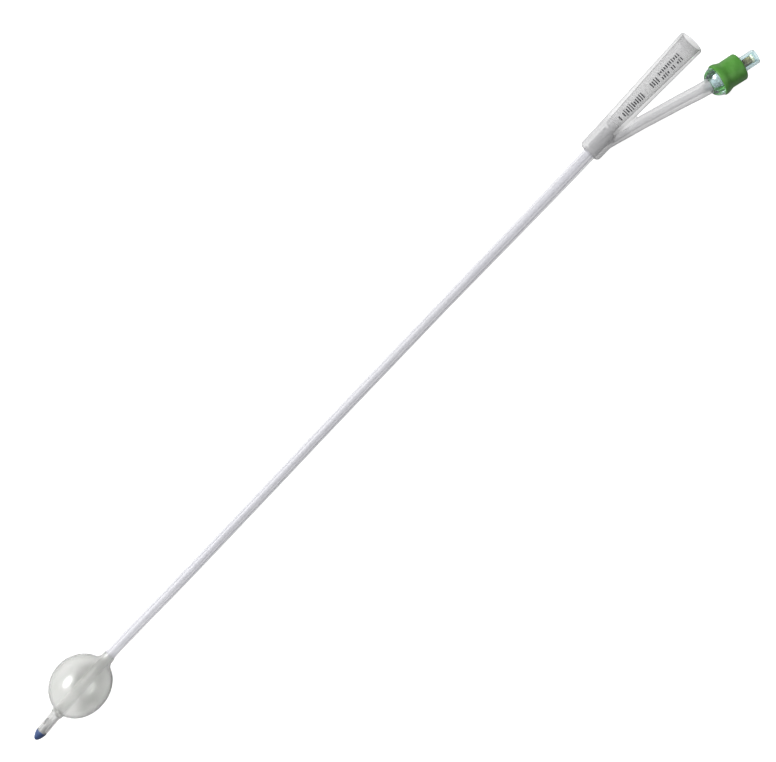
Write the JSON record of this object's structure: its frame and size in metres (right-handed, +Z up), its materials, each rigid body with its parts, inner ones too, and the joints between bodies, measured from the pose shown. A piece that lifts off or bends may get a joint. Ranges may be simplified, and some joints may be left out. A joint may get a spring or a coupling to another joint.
{
  "type": "urinary balloon catheter",
  "caption": "Silicone urinary catheter lying flat, with a rounded tip, side eyes, a filled retention balloon, a drainage funnel and an inflation arm with a sprung valve.",
  "frame": {"origin": "on the table, under the middle of the whole catheter", "axes": "+X from the tip to the mouth of the drainage funnel, along the funnel's axis seen from above; +Y to the side away from the inflation arm; +Z up from the table that it lies on"},
  "size_m": [0.405, 0.0398, 0.0245],
  "materials": {
    "silicone": "translucent, satin",
    "balloon_silicone": "clear, glossy",
    "blue_silicone": "satin",
    "clear_plastic": "clear, moulded",
    "green_plastic": "semi-gloss, moulded",
    "cream_plastic": "moulded",
    "olive_rubber": "matte",
    "spring_steel": "drawn wire"
  },
  "bodies": {
    "catheter": {"catheter_shaft": "silicone", "rounded_tip": "blue_silicone", "retention_balloon": "balloon_silicone", "drainage_funnel": "silicone", "valve_base": "clear_plastic", "valve_body": "clear_plastic", "valve_sleeve": "green_plastic", "valve_spring": "spring_steel"},
    "plunger": {"valve_plunger": "cream_plastic", "plunger_seal": "olive_rubber"}
  },
  "joints": [
    {"name": "valve_plunger", "type": "slide", "parent": "catheter", "child": "plunger", "axis": [-0.9694, 0.2399, 0.0523], "range_m": [0, 0.0012], "stiffness_N_per_m": 780, "springref_m": -0.0015, "deforming": ["valve_spring"]}
  ]
}
